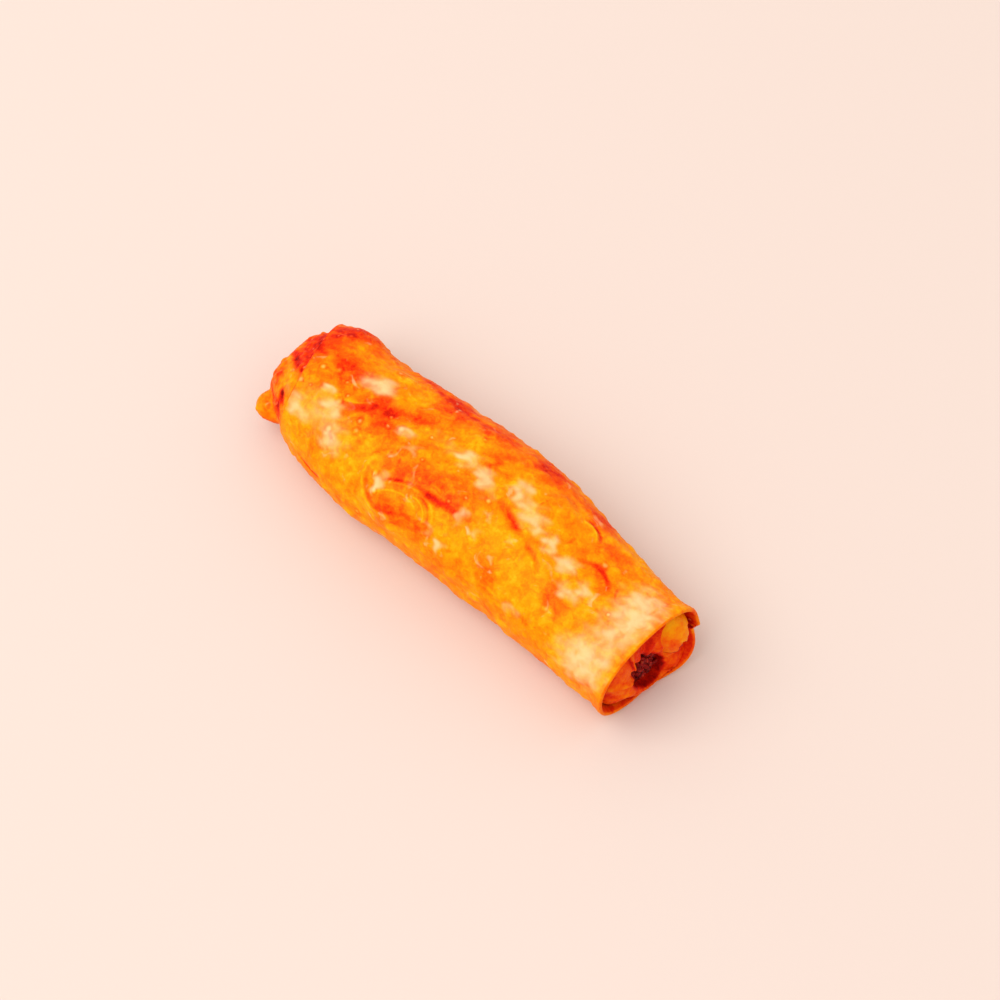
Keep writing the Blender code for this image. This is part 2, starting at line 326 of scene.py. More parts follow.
def wrinkled(x, angle, wrinkles):
    """Height in metres and tone that these wrinkles add here: painted shade along the creases and
    painted highlight along the ridges.
    """
    flat = unrolled(x, angle)
    height = np.zeros(flat.shape[:-1])
    tone = np.zeros(flat.shape[:-1])
    for x0, d0, x1, d1, bow, width, rise, colour in wrinkles:
        start = np.array((x0, d0 * MM_PER_DEGREE))
        end = np.array((x1, d1 * MM_PER_DEGREE))
        run = end - start
        across = np.array((-run[1], run[0])) / np.hypot(*run)
        nearest = np.full(flat.shape[:-1], 1e9)
        share = np.zeros(flat.shape[:-1])
        for t in np.linspace(0, 1, 41):
            bend = start + run * t + across * bow * 4 * t * (1 - t)
            distance = np.hypot(flat[..., 0] - bend[0], flat[..., 1] - bend[1])
            closer = distance < nearest
            nearest = np.where(closer, distance, nearest)
            share = np.where(closer, t, share)
        fade = np.sin(math.pi * np.clip(share, 0.04, 0.96)) ** 0.6
        line = np.exp(-((nearest / width) ** 2)) * fade
        height += rise * 0.001 * line
        tone += colour * np.exp(-((nearest / (1.5 * width)) ** 2)) * fade
    return height, tone


# Browned (tone above 0) and pale (below 0) patches: mm along, degrees round, reach along and
# round in mm, slant in degrees, tone. The browned band along the far side, about 25 to 70 degrees
# round, is painted shade, and the pale patches along the crest, about 70 to 105 degrees round, are
# partly pale dough and partly painted highlight.
PATCHES = (
    (-60, 88, 5.0, 7.0, 0, 1.10),
    (-57, 50, 5.0, 7.0, 0, 1.20),
    (-48, 38, 8.0, 4.0, 0, 0.65),
    (-46, 80, 7.0, 5.5, 20, 0.95),
    (-51, 106, 3.0, 3.0, 0, 0.35),
    (-37, 74, 5.5, 3.0, -15, -0.95),
    (-45, 130, 9.0, 8.0, 0, -0.35),
    (-47, 109, 1.6, 1.2, 0, -0.75),
    (-42, 120, 3.0, 2.4, 0, -0.60),
    (-51, 143, 3.4, 2.6, 0, -0.75),
    (-36, 141, 4.0, 4.0, 0, -0.60),
    (-32, 92, 6.0, 5.0, 0, 0.60),
    (-28, 104, 8.0, 5.0, 0, 0.50),
    (-20, 72, 7.0, 3.0, -18, 0.60),
    (-18, 47, 6.0, 5.0, 0, 0.75),
    (-24, 27, 24.0, 4.0, 0, 0.60),
    (-4, 43, 6.0, 3.4, 0, 0.85),
    (2, 66, 2.4, 4.4, 0, 0.70),
    (12, 40, 8.0, 4.4, 0, 1.05),
    (30, 33, 9.0, 4.0, 0, 0.75),
    (-18, 124, 6.0, 6.0, 0, 0.45),
    (-9, 121, 7.0, 5.0, 0, 0.55),
    (0, 112, 7.0, 6.0, 0, 0.45),
    (-22, 94, 2.6, 2.0, 0, -0.65),
    (-16, 104, 2.2, 1.6, 0, -0.60),
    (-12, 80, 8.0, 4.0, 0, -0.20),
    (-4, 80, 2.6, 2.6, 0, -0.75),
    (4, 87, 4.4, 2.8, 30, -0.90),
    (12, 73, 2.4, 3.6, 0, -0.85),
    (18, 84, 3.4, 3.4, 0, -0.75),
    (22, 89, 3.0, 3.0, 0, -0.70),
    (28, 90, 1.8, 3.4, 0, -0.90),
    (33, 99, 2.6, 2.4, 0, -0.55),
    (36, 95, 2.4, 3.4, 0, -0.60),
    (40, 115, 3.6, 2.0, 0, -0.75),
    (43, 103, 3.0, 2.4, 0, -0.70),
    (-17.5, 143, 1.6, 2.8, 0, -0.90),
    (-11, 153, 4.0, 2.4, 0, 0.85),
    (-3, 152, 5.0, 3.4, 0, 0.85),
    (-18, 153, 3.0, 3.0, 0, 0.40),
    (1, 147, 1.6, 1.6, 0, -0.60),
    (5, 152, 1.3, 2.4, 0, -0.85),
    (6, 123, 1.3, 2.6, 0, -0.60),
    (12, 128, 1.4, 1.8, 0, -0.40),
    (20, 148, 4.0, 3.4, 0, 0.55),
    (39, 129, 5.0, 3.0, 25, 0.60),
    (44, 80, 6.0, 5.0, 0, 0.45),
    (42, 54, 7.0, 3.4, 0, 0.50),
    (57, 86, 6.5, 10.0, 0, -0.85),
    (56, 60, 6.0, 6.0, 0, -0.35),
    (56, 124, 6.0, 7.0, 0, -0.45),
    (54, 154, 8.0, 7.0, 0, -0.90),
    (47, 128, 5.0, 4.0, 0, 0.20),
    (30, 158, 3.0, 2.0, 0, -0.45),
)
# A broad area that stayed golden: mm along, degrees round, reach along and round in mm
GOLDEN = (30, 128, 16.0, 8.0)
GOLDEN_TONE = -0.16
# The side away from the viewer has patches of its own.
rng = np.random.default_rng(26)
hidden_patches = [
    (
        rng.uniform(-60, 60),
        rng.uniform(205, 385) % 360,
        rng.uniform(2, 7),
        rng.uniform(1.5, 5),
        rng.uniform(-40, 40),
        rng.choice((rng.uniform(-0.9, -0.4), rng.uniform(0.3, 0.9))),
    )
    for _ in range(34)
]


def patch_browning_and_light(x, angle, patches):
    """How far these patches darken the pastry here, as browning and as painted shade, and how far
    they leave it pale, as pale dough and as painted highlight.
    """
    flat = unrolled(x, angle)
    warp = [
        0.9 * np.sin(flat[..., 0] * 0.9 + k) * np.cos(flat[..., 1] * 0.7 - 2 * k)
        + 0.5 * np.sin(flat[..., 1] * 1.7 + 3 * k + flat[..., 0] * 0.6)
        for k in (0.4, 1.7)
    ]
    tone = np.zeros(flat.shape[:-1])
    pale = np.zeros(flat.shape[:-1])
    for along, degrees, reach_along, reach_round, slant, strength in patches:
        dx = flat[..., 0] + warp[0] - along
        ds = wrapped(flat[..., 1] + warp[1] - degrees * MM_PER_DEGREE, 360 * MM_PER_DEGREE)
        c, s = math.cos(math.radians(slant)), math.sin(math.radians(slant))
        q = ((c * dx + s * ds) / reach_along) ** 2 + ((c * ds - s * dx) / reach_round) ** 2
        if strength > 0:
            tone += strength * np.exp(-(q**1.3))
        else:
            pale -= strength * np.exp(-(q**1.1))
    return tone, pale


def grid_piece(name, points, attributes, pole=False):
    """A piece whose mesh runs through closed rows of points, with values for each point. A pole
    is a row whose points all meet."""
    rows, columns = points.shape[:2]
    mesh = bpy.data.meshes.new(name)
    index = np.arange(rows * columns).reshape(rows, columns)
    after = np.roll(index, -1, axis=1)
    quads = np.stack((index[:-1], after[:-1], after[1:], index[1:]), axis=-1).reshape(-1, 4)
    mesh.from_pydata(points.reshape(-1, 3), [], quads.tolist())
    for key, values in attributes.items():
        layer = mesh.attributes.new(key, "FLOAT", "POINT")
        layer.data.foreach_set("value", np.broadcast_to(values, (rows, columns)).ravel())
    if pole:
        bm = bmesh.new()
        bm.from_mesh(mesh)
        bmesh.ops.remove_doubles(bm, verts=bm.verts, dist=POLE_WELD)
        bm.to_mesh(mesh)
        bm.free()
    piece = bpy.data.objects.new(name, mesh)
    bpy.context.scene.collection.objects.link(piece)
    return piece


share_along = np.linspace(0, 1, STEPS_ALONG)[:, None]
turn_share = np.linspace(0, 1, STEPS_ROUND)[None, :]
start_angle = flap_angle(RIM_LEFT + (RIM_RIGHT - RIM_LEFT) * share_along)
angles = start_angle + math.tau * turn_share
depths = PITCH * (angles - FLAP_TIP) / math.tau
turn_number = TURNS - (angles - FLAP_TIP) / math.tau
rim_right = RIM_RIGHT + low_lip(angles) - FLAP_BACK * (1 - smooth(*FLAP_BACK_TURNS, turn_number))
rim_left = RIM_LEFT + LEFT_SLANT * (1 - np.cos(angles - LEFT_SLANT_FROM)) / 2
x_grid = rim_left + (rim_right - rim_left) * share_along
mouth_x = RIM_RIGHT + low_lip(angles)
depths = depths - LIP * smooth(mouth_x - LIP_REACH, mouth_x, x_grid)
wrinkle_height = wrinkled(x_grid, angles, WRINKLES)[0]
body = around(x_grid, angles, skin_radius(x_grid, angles) - depths + wrinkle_height)
tone, pale = patch_browning_and_light(x_grid, angles, list(PATCHES) + hidden_patches)
tone = tone + GOLDEN_TONE * spot(unrolled(x_grid, angles), *GOLDEN)

# The free edge: under the flap the sheet goes on a little way, so the edge stands over a groove,
# which is painted darker as shade.
groove = []
last_x = x_grid[:, -1:]
for turned, deep in GROOVE:
    angle = start_angle + turned
    depth = depths[:, :1] + PITCH * deep
    groove.append(around(last_x, angle, skin_radius(last_x, angle) - depth))
sleeve = np.concatenate([body] + groove, axis=1)
edge_columns = ((0, 0), (0, len(groove)))
sleeve_tone = np.pad(tone, edge_columns, constant_values=GROOVE_SHADE_TONE)
sleeve_pale = np.pad(pale, edge_columns)
sleeve_place = np.stack((x_grid * 1000, np.degrees(angles) * MM_PER_DEGREE, 0 * angles), axis=-1)
sleeve_place = np.pad(sleeve_place, (*edge_columns, (0, 0)), mode="edge")


def turned_in(edge_row, outward, tone_row):
    """Rows that round the sheet's cut edge at a mouth and run back inside the roll, and their tones:
    browner at the edge, and painted darker as shade towards the inside.
    """
    inward = np.array((0, SIDE, MIDDLE_HEIGHT)) - edge_row
    inward[:, 0] = 0
    inward /= np.linalg.norm(inward, axis=1, keepdims=True)
    rows = []
    tones = []
    for k in range(1, RIM_STEPS + 1):
        angle = math.pi * k / RIM_STEPS
        point = edge_row + inward * RIM_THICKNESS / 2 * (1 - math.cos(angle))
        point[:, 0] += outward * RIM_THICKNESS / 2 * math.sin(angle)
        rows.append(point)
        tones.append(tone_row + RIM_TONES[0] + RIM_TONES[1] * (k / RIM_STEPS) ** 3)
    for run in INNER_WALL:
        point = edge_row + inward * (RIM_THICKNESS + INNER_WALL_SLOPE * run)
        point[:, 0] -= outward * run
        rows.append(point)
        tones.append(np.full_like(tone_row, INNER_WALL_SHADE_TONE))
    return rows, tones


right_rows, right_tones = turned_in(sleeve[-1], 1, sleeve_tone[-1])
left_rows, left_tones = turned_in(sleeve[0], -1, sleeve_tone[0])
sleeve = np.stack(left_rows[::-1] + list(sleeve) + right_rows)
sleeve_tone = np.stack(left_tones[::-1] + list(sleeve_tone) + right_tones)
rise = smooth(*RESTING, sleeve[..., 2])
rise[: len(left_rows)] = 0
rise[-len(right_rows) :] = 0
edge_rows = (len(left_rows), len(right_rows))
sleeve_pale = np.pad(sleeve_pale, (edge_rows, (0, 0)))
flecked = np.pad(np.full_like(pale, FLECKED), (edge_rows, edge_columns[1]))
sleeve_place = np.pad(sleeve_place, (edge_rows, (0, 0), (0, 0)), mode="edge")
outer_turn = grid_piece(
    "outer_turn",
    sleeve,
    {
        "tone": sleeve_tone,
        "pale": sleeve_pale,
        "flecked": flecked,
        "rise": rise,
        "beady": sum(share * spot(sleeve_place, *area) for *area, share in BEADY_AREAS),
    },
)
sheet_place = outer_turn.data.attributes.new("sheet_place", "FLOAT_VECTOR", "POINT")
sheet_place.data.foreach_set("vector", sleeve_place.ravel())


def set_stops(ramp, stops):
    """Gives a colour ramp these stops, each a place from 0 to 1 and a colour."""
    elements = ramp.color_ramp.elements
    while len(elements) < len(stops):
        elements.new(0.5)
    for element, (position, colour) in zip(elements, stops):
        element.position = position
        element.color = linear(colour)


def fried_pastry(name, roughness, wrinkles=()):
    """Fried wheat pastry: dry and matt, pale where it lay deep in the oil for less time, golden
    over most of it, and red-brown at edges, with fine wrinkles and beads. Its tone also carries
    painted light: shade in creases and round beads, and highlight on ridges, beads and blister tops."""
    material, tree = new_material(name)
    place = add(tree, "ShaderNodeTexCoord").outputs["Object"]

    # Blotches about 9 mm across, flowing mottling of about 3 mm and 1 mm, and grain of 0.45 mm
    browning_and_painted_light = add(tree, "ShaderNodeAttribute", attribute_name="tone").outputs["Fac"]
    clouds = ((9.0, 0.6, 1.3), (3.2, 1.0, 1.3), (1.1, 0.8, 0.65), (0.45, 0.0, 0.36))
    for size_mm, warp, strength in clouds:
        inputs = {"Vector": place, "Scale": 1000 / size_mm, "Detail": 2.0, "Distortion": warp}
        cloud = add(tree, "ShaderNodeTexNoise", inputs)
        centred = add(tree, "ShaderNodeMath", {0: cloud, 1: 0.5}, operation="SUBTRACT")
        inputs = {0: centred, 1: strength, 2: browning_and_painted_light}
        browning_and_painted_light = add(tree, "ShaderNodeMath", inputs, operation="MULTIPLY_ADD")

    # Fine ripples of 0.9 mm cover everything. Each wrinkle is an arc on the flattened sheet: the
    # distance from its circle gives a line, which fades out with the angle from the arc's middle.
    height = add(tree, "ShaderNodeTexNoise", {"Vector": place, "Scale": 1000 / 0.9, "Detail": 3.0})
    on_sheet = add(tree, "ShaderNodeAttribute", attribute_name="sheet_place").outputs["Vector"]
    for x0, d0, x1, d1, bow, width, rise, colour in wrinkles:
        start = Vector((x0, d0 * MM_PER_DEGREE, 0))
        end = Vector((x1, d1 * MM_PER_DEGREE, 0))
        half = (end - start).length / 2
        run = (end - start).normalized()
        across = Vector((-run.y, run.x, 0)) * math.copysign(1, bow)
        radius = (half**2 + bow**2) / (2 * abs(bow))
        centre = (start + end) / 2 + across * (abs(bow) - radius)
        end_cosine = (radius - abs(bow)) / radius
        away = add(tree, "ShaderNodeVectorMath", {0: on_sheet, 1: centre}, operation="DISTANCE")
        inputs = {0: away, 1: 1 / width, 2: -radius / width}
        off = add(tree, "ShaderNodeMath", inputs, operation="MULTIPLY_ADD")
        off = add(tree, "ShaderNodeMath", {0: off, 1: off}, operation="MULTIPLY")
        near = add(tree, "ShaderNodeMath", {0: 1.0, 1: off}, operation="SUBTRACT", use_clamp=True)
        near = add(tree, "ShaderNodeMath", {0: near, 1: near}, operation="MULTIPLY")
        outward = add(tree, "ShaderNodeVectorMath", {0: on_sheet, 1: centre}, operation="SUBTRACT")
        inputs = {0: outward, 1: across}
        cosine = add(tree, "ShaderNodeVectorMath", inputs, operation="DOT_PRODUCT")
        cosine = add(tree, "ShaderNodeMath", {0: cosine, 1: away}, operation="DIVIDE")
        inputs = {0: cosine, 1: 1 / (1 - end_cosine), 2: -end_cosine / (1 - end_cosine)}
        fade = add(tree, "ShaderNodeMath", inputs, operation="MULTIPLY_ADD", use_clamp=True)
        fade = add(tree, "ShaderNodeMath", {0: fade}, operation="SQRT")
        line = add(tree, "ShaderNodeMath", {0: near, 1: fade}, operation="MULTIPLY")
        # Each line adds its tone: painted shade along a crease, and painted highlight along a ridge.
        inputs = {0: line, 1: colour, 2: browning_and_painted_light}
        browning_and_painted_light = add(tree, "ShaderNodeMath", inputs, operation="MULTIPLY_ADD")
        inputs = {0: line, 1: 4.0 * rise, 2: height}
        height = add(tree, "ShaderNodeMath", inputs, operation="MULTIPLY_ADD")

    # Beads are pinhead blisters: a cell of 3.2 mm holds at most one, of 0.5 to 1.1 mm radius,
    # paler than the ring round it: the pale top is painted highlight and the darker ring painted
    # shade.
    cells = add(tree, "ShaderNodeTexVoronoi", {"Vector": place, "Scale": 1000 / 3.2})
    draw = add(tree, "ShaderNodeSeparateColor", {"Color": cells.outputs["Color"]}).outputs
    size = add(tree, "ShaderNodeMath", {0: draw[0], 1: 0.19, 2: 0.16}, operation="MULTIPLY_ADD")
    inputs = {0: cells.outputs["Distance"], 1: size}
    reach = add(tree, "ShaderNodeMath", inputs, operation="DIVIDE")
    beady = add(tree, "ShaderNodeAttribute", attribute_name="beady").outputs["Fac"]
    beady = add(tree, "ShaderNodeMath", {0: beady, 1: 0.06}, operation="ADD")
    present = add(tree, "ShaderNodeMath", {0: draw[1], 1: beady}, operation="LESS_THAN")
    for outer, inner, colour, rise in ((1.8, 1.0, 0.25, 0.0), (1.1, 0.1, -0.55, 0.6)):
        inputs = {"Value": reach, "From Min": outer, "From Max": inner, "To Max": present}
        bead = add(tree, "ShaderNodeMapRange", inputs, interpolation_type="SMOOTHSTEP")
        inputs = {0: bead, 1: colour, 2: browning_and_painted_light}
        browning_and_painted_light = add(tree, "ShaderNodeMath", inputs, operation="MULTIPLY_ADD")
        inputs = {0: bead, 1: rise, 2: height}
        height = add(tree, "ShaderNodeMath", inputs, operation="MULTIPLY_ADD")
    # Blister tops are painted paler as highlight.
    blister = add(tree, "ShaderNodeAttribute", attribute_name="blister").outputs["Fac"]
    inputs = {0: blister, 1: -0.30, 2: browning_and_painted_light}
    browning_and_painted_light = add(tree, "ShaderNodeMath", inputs, operation="MULTIPLY_ADD")

    inputs = {"Value": browning_and_painted_light, "From Min": -1.1, "From Max": 1.9}
    share = add(tree, "ShaderNodeMapRange", inputs)
    ramp = add(tree, "ShaderNodeValToRGB", {"Fac": share})
    stops = (
        (0.00, "F8BC3C"),
        (0.16, "F6AA10"),
        (0.29, "F49400"),
        (0.40, "F27E00"),
        (0.52, "F06400"),
        (0.64, "EA4600"),
        (0.76, "D82200"),
        (0.88, "B81000"),
        (1.00, "860602"),
    )
    set_stops(ramp, stops)

    # Pale areas, loose pale flecks and beads fade in as soft streaks. The flecks are partly pale
    # crust and partly painted highlight, and the bead tops are painted highlight.
    inputs = {"Vector": place, "Scale": 1000 / 4.0, "Detail": 2.0, "Distortion": 0.8}
    flecks = add(tree, "ShaderNodeTexNoise", inputs)
    most = add(tree, "ShaderNodeAttribute", attribute_name="flecked").outputs["Fac"]
    inputs = {"Value": flecks, "From Min": 0.58, "From Max": 0.80, "To Max": most}
    flecks = add(tree, "ShaderNodeMapRange", inputs, interpolation_type="SMOOTHSTEP")
    pale = add(tree, "ShaderNodeAttribute", attribute_name="pale").outputs["Fac"]
    pale = add(tree, "ShaderNodeMath", {0: pale, 1: flecks}, operation="MAXIMUM")
    pale = add(tree, "ShaderNodeMath", {0: bead, 1: 0.38, 2: pale}, operation="MULTIPLY_ADD")
    inputs = {"Vector": place, "Scale": 1000 / 3.4, "Detail": 1.6, "Distortion": 0.5}
    streaks = add(tree, "ShaderNodeTexNoise", inputs)
    centred = add(tree, "ShaderNodeMath", {0: streaks, 1: 0.5}, operation="SUBTRACT")
    spread = add(tree, "ShaderNodeMath", {0: pale, 1: 1.3, 2: 0.20}, operation="MULTIPLY_ADD")
    inputs = {0: centred, 1: spread, 2: pale}
    streaked = add(tree, "ShaderNodeMath", inputs, operation="MULTIPLY_ADD")
    inputs = {"Value": streaked, "From Min": 0.08, "From Max": 1.15, "To Max": 0.88}
    whitened = add(tree, "ShaderNodeMapRange", inputs, interpolation_type="SMOOTHSTEP")
    inputs = {"Factor": whitened, "A": ramp, "B": linear("F4C488")}
    colour = add(tree, "ShaderNodeMix", inputs, data_type="RGBA")
    bump = add(tree, "ShaderNodeBump", {"Strength": 0.45, "Distance": 0.0003, "Height": height})
    inputs = {
        "Base Color": colour,
        "Roughness": roughness,
        "Specular IOR Level": 0.05,
        "IOR": 1.45,
        "Normal": bump,
    }
    shader = add(tree, "ShaderNodeBsdfPrincipled", inputs)
    add(tree, "ShaderNodeOutputMaterial", {"Surface": shader})
    return material


# The dry skin has wrinkles of its own, and steam leaves the folds in the mouth a little shinier.
pastry = fried_pastry("deep-fried wheat pastry", 0.48, WRINKLES)
folded_pastry = fried_pastry("deep-fried folded pastry", 0.48)
moist_pastry = fried_pastry("moist folded pastry", 0.42)


def new_tree(name, sizes, material):
    """A geometry tree with named inputs: the geometry, these sizes, a seed and a material."""
    tree = bpy.data.node_groups.new(name, "GeometryNodeTree")
    sockets = tree.interface
    sockets.new_socket("Geometry", in_out="INPUT", socket_type="NodeSocketGeometry")
    for key, value in sizes.items():
        socket = sockets.new_socket(key, in_out="INPUT", socket_type="NodeSocketFloat")
        socket.default_value = value
    sockets.new_socket("Seed", in_out="INPUT", socket_type="NodeSocketInt")
    sockets.new_socket(material, in_out="INPUT", socket_type="NodeSocketMaterial")
    sockets.new_socket("Geometry", in_out="OUTPUT", socket_type="NodeSocketGeometry")
    return tree


def blistering():
    """A tree that ripples a pastry surface and raises scattered blisters in two sizes."""
    sizes = {
        "Ripple Size": 0.008,
        "Ripple Height": 0.0006,
        "Blister Spacing": 0.0052,
        "Blister Reach": 0.0025,
        "Blister Height": 0.00045,
        "Bead Spacing": 0.0022,
        "Bead Reach": 0.0010,
        "Bead Height": 0.00022,
    }
    tree = new_tree("blistering", sizes, "Pastry")
    given = add(tree, "NodeGroupInput").outputs
    position = add(tree, "GeometryNodeInputPosition")
    normal = add(tree, "GeometryNodeInputNormal")
    rise = add(tree, "GeometryNodeInputNamedAttribute", {"Name": "rise"}, data_type="FLOAT")
    scale = add(tree, "ShaderNodeMath", {0: 1.0, 1: given["Ripple Size"]}, operation="DIVIDE")
    inputs = {"Vector": position, "Scale": scale, "Detail": 3.0, "Roughness": 0.5}
    cloud = add(tree, "ShaderNodeTexNoise", inputs)
    centred = add(tree, "ShaderNodeMath", {0: cloud, 1: 0.5}, operation="SUBTRACT")
    inputs = {0: centred, 1: given["Ripple Height"]}
    height = add(tree, "ShaderNodeMath", inputs, operation="MULTIPLY")
    domes = 0.0
    for offset, size in enumerate(("Blister", "Bead")):
        seed = add(tree, "ShaderNodeMath", {0: given["Seed"], 1: float(offset)}, operation="ADD")
        inputs = {
            "Mesh": given["Geometry"],
            "Distance Min": given[size + " Spacing"],
            "Density Max": 4.0e5,
            "Density Factor": rise,
            "Seed": seed,
        }
        kind = "GeometryNodeDistributePointsOnFaces"
        spots = add(tree, kind, inputs, distribute_method="POISSON")
        inputs = {"Min": 0.25, "Max": 1.0, "Seed": seed}
        random = add(tree, "FunctionNodeRandomValue", inputs, data_type="FLOAT")
        inputs = {0: random, 1: given[size + " Reach"]}
        reach = add(tree, "ShaderNodeMath", inputs, operation="MULTIPLY")
        inputs = {"Geometry": spots, "Name": "reach", "Value": reach}
        kept = add(tree, "GeometryNodeStoreNamedAttribute", inputs, data_type="FLOAT")
        inputs = {"Geometry": kept, "Sample Position": position}
        nearest = add(tree, "GeometryNodeSampleNearest", inputs, domain="POINT")
        own_reach = add(tree, "GeometryNodeInputNamedAttribute", {"Name": "reach"}, data_type="FLOAT")
        inputs = {"Geometry": kept, "Value": position, "Index": nearest}
        middle = add(tree, "GeometryNodeSampleIndex", inputs, data_type="FLOAT_VECTOR")
        inputs = {"Geometry": kept, "Value": own_reach, "Index": nearest}
        width = add(tree, "GeometryNodeSampleIndex", inputs, data_type="FLOAT")
        away = add(tree, "ShaderNodeVectorMath", {0: position, 1: middle}, operation="DISTANCE")
        ratio = add(tree, "ShaderNodeMath", {0: away, 1: width}, operation="DIVIDE", use_clamp=True)
        squared = add(tree, "ShaderNodeMath", {0: ratio, 1: 2.0}, operation="POWER")
        lowered = add(tree, "ShaderNodeMath", {0: 1.0, 1: squared}, operation="SUBTRACT")
        dome = add(tree, "ShaderNodeMath", {0: lowered, 1: 1.4}, operation="POWER")
        # A wide blister rises as much higher as it is wider.
        inputs = {0: width, 1: given[size + " Reach"]}
        widened = add(tree, "ShaderNodeMath", inputs, operation="DIVIDE")
        shaped = add(tree, "ShaderNodeMath", {0: dome, 1: widened}, operation="MULTIPLY")
        inputs = {0: shaped, 1: given[size + " Height"], 2: height}
        height = add(tree, "ShaderNodeMath", inputs, operation="MULTIPLY_ADD")
        domes = add(tree, "ShaderNodeMath", {0: domes, 1: shaped}, operation="MAXIMUM")
    masked = add(tree, "ShaderNodeMath", {0: height, 1: rise}, operation="MULTIPLY")
    move = add(tree, "ShaderNodeVectorMath", {0: normal, "Scale": masked}, operation="SCALE")
    inputs = {"Geometry": given["Geometry"], "Name": "blister", "Value": domes}
    marked = add(tree, "GeometryNodeStoreNamedAttribute", inputs, data_type="FLOAT")
    moved = add(tree, "GeometryNodeSetPosition", {"Geometry": marked, "Offset": move})
    rounded = add(tree, "GeometryNodeSetShadeSmooth", {"Geometry": moved})
    real = add(tree, "GeometryNodeRealizeInstances", {"Geometry": rounded})
    inputs = {"Geometry": real, "Material": given["Pastry"]}
    clad = add(tree, "GeometryNodeSetMaterial", inputs)
    add(tree, "NodeGroupOutput", {0: clad})
    return tree


def make_real(obj, tree, values):
    """Runs the tree on the object with these inputs and keeps the result as a plain mesh."""
    modifier = obj.modifiers.new(tree.name, "NODES")
    modifier.node_group = tree
    for item in tree.interface.items_tree:
        if item.in_out == "INPUT" and item.name in values:
            modifier[item.identifier] = values[item.name]
    ready = obj.evaluated_get(bpy.context.evaluated_depsgraph_get())
    mesh = bpy.data.meshes.new_from_object(ready)
    obj.modifiers.remove(modifier)
    obj.data = mesh


blister_tree = blistering()
make_real(outer_turn, blister_tree, {"Pastry": pastry, "Seed": 5})
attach(outer_turn, "root")
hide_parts("wrapper")

# ----------------------------
# The tucked end is one side of the sheet, folded in over the filling before rolling: a low dome
# of gathered pastry that goes in under the outer turn, darkest where it stood proud in the oil.
# One corner of the fold stands out as a blunt knob, painted darker underneath as shade.
# ----------------------------
TUCK_ROOT = 0.0105
TUCK_UNDER = 0.0060  # how far the fold runs on under the outer turn
TUCK_INSET = 0.0006
TUCK_BULGE = 0.0014  # the dome swells towards the knob
TUCK_BULGE_AT = math.radians(150)
TUCK_FLOOR = 0.0009  # the dome stays above this height
TUCK_FLOOR_RISE = 0.0040  # and its tip this much higher
TUCK_RESTING = (0.0015, 0.0040)
TIP_TONE = 0.5
PLEATS = 3
PLEAT_DEPTH = 0.06
GATHERS = 9
GATHER_DEPTH = 0.035
TUCK_ROUNDING = 1.4
TUCK_CLOSING = 0.34
# Wrinkles of the tucked end, as for the outer turn: creases painted darker as shade, ridges paler as
# painted highlight.
TUCK_WRINKLES = (
    (-66, 94, -58, 118, 0.8, 1.30, -0.70, 1.15),
    (-65, 106, -58, 130, 0.6, 1.40, 0.45, -0.30),
    (-59, 66, -57, 77, 0.5, 0.60, -0.45, 1.30),
    (-58, 92, -56, 98, 0.2, 0.50, -0.30, 0.90),
    (-57.5, 114, -56, 117, 0.2, 0.50, -0.30, 0.90),
    (-57.8, 144, -57.0, 149, 0.1, 0.50, -0.40, 1.60),
    (-57.4, 150, -56.0, 172, 0.4, 0.80, -0.50, 0.90),
    (-58, 140, -54, 158, 0.6, 0.80, -0.40, 0.90),
    (-66, 160, -58, 162, 0.4, 0.80, -0.35, 0.60),
    (-67, 40, -57, 52, 0.6, 1.00, -0.50, 0.80),
    (-66, 250, -57, 262, 0.5, 1.00, -0.60, 0.90),
    (-67, 315, -58, 330, 0.5, 1.00, -0.60, 0.90),
)
KNOB_ROOT = (0.0030, -0.0109, -0.0033)  # from the spine at the rim
KNOB_RUN = (-0.62, -0.78, -0.03)
KNOB_RADIUS = 0.0046
KNOB_OUT = 0.0026  # the middle of its round end, from the root
KNOB_BLEND = 0.0026
KNOB_FALL = 2.5  # how steeply the ball end's surface falls away beside it
KNOB_SHADE_TONE = 0.95
KNOB_SHADE_HEIGHTS = (0.0105, 0.0060)  # painted shade on its underside: darker from the first height down to the second
TUCK_PATCHES = (
    (-59.5, 92, 4.5, 7.0, 0, 1.00),
    (-57.5, 106, 2.6, 3.4, 0, 0.40),
    (-60, 62, 5.0, 5.0, 0, 1.10),
    (-61, 120, 2.6, 3.0, 0, 0.30),
    (-57, 138, 3.0, 3.0, 0, -0.30),
    (-62.5, 140, 2.0, 5.0, 0, 0.75),
    (-57, 168, 4.0, 4.0, 0, 0.60),
)


def tuck_point(share, angle):
    """Place along the roll and radius of the folded end. Below share 0 it is under the turn."""
    inside = np.clip(share, 0, 1)
    rounding = np.sin(inside * math.pi / 2) ** TUCK_ROUNDING
    under = TUCK_UNDER * np.clip(-share, 0, 1)
    x = RIM_LEFT + TUCK_ROOT - (TUCK_ROOT + TUCK_REACH) * rounding + under
    shrink = np.cos(inside * math.pi / 2) ** TUCK_CLOSING
    pleat = 1 - PLEAT_DEPTH * inside * (1 + np.cos(PLEATS * angle + 0.7))
    gather = 1 + GATHER_DEPTH * inside**2 * np.cos(GATHERS * angle + 5 * inside)
    height, tone = wrinkled(x, angle, TUCK_WRINKLES)
    bulge = TUCK_BULGE * np.maximum(0, np.cos(angle - TUCK_BULGE_AT)) ** 3 * inside
    turned = (angle - FLAP_TIP) / math.tau % 1
    inset = TUCK_INSET + PITCH * turned * (1 - smooth(0.90, 1.0, turned))
    radius = (skin_radius(x, angle) + bulge - inset) * shrink * pleat * gather + height * shrink
    return x, radius, tone


